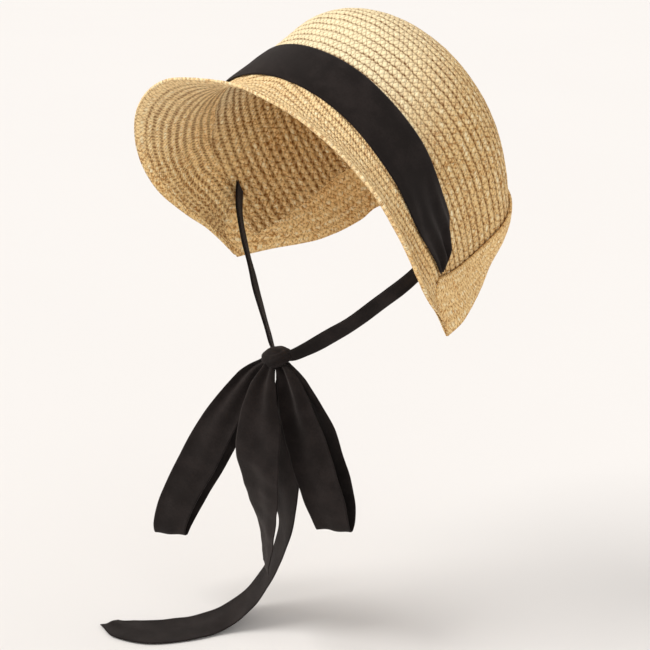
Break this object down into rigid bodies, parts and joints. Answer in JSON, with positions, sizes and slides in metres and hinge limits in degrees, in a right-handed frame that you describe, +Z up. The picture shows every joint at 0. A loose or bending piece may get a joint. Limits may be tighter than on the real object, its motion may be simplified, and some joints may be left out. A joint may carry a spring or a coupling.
{
  "type": "poke bonnet",
  "caption": "Straw poke bonnet with a flaring front brim, a deep crown, a dark ribbon round the crown and a ribbon bow tied under the chin.",
  "frame": {"origin": "highest point of the crown's inner face, where it sits on a head", "axes": "+Z up; the face opening looks along -Y; +X is the wearer's left"},
  "size_m": [0.2826, 0.2758, 0.4727],
  "materials": {
    "crown_straw": "matte",
    "brim_straw": "matte",
    "nape_straw": "matte",
    "ribbon": "matte"
  },
  "bodies": {
    "root": {"crown": "crown_straw", "brim": "brim_straw", "nape_strip": "nape_straw", "hat_band": "ribbon", "chin_tie_left": "ribbon", "chin_tie_right": "ribbon", "knot": "ribbon", "bow_loop_left": "ribbon", "bow_loop_right": "ribbon", "tail_short": "ribbon", "tail_long": "ribbon"}
  },
  "joints": []
}
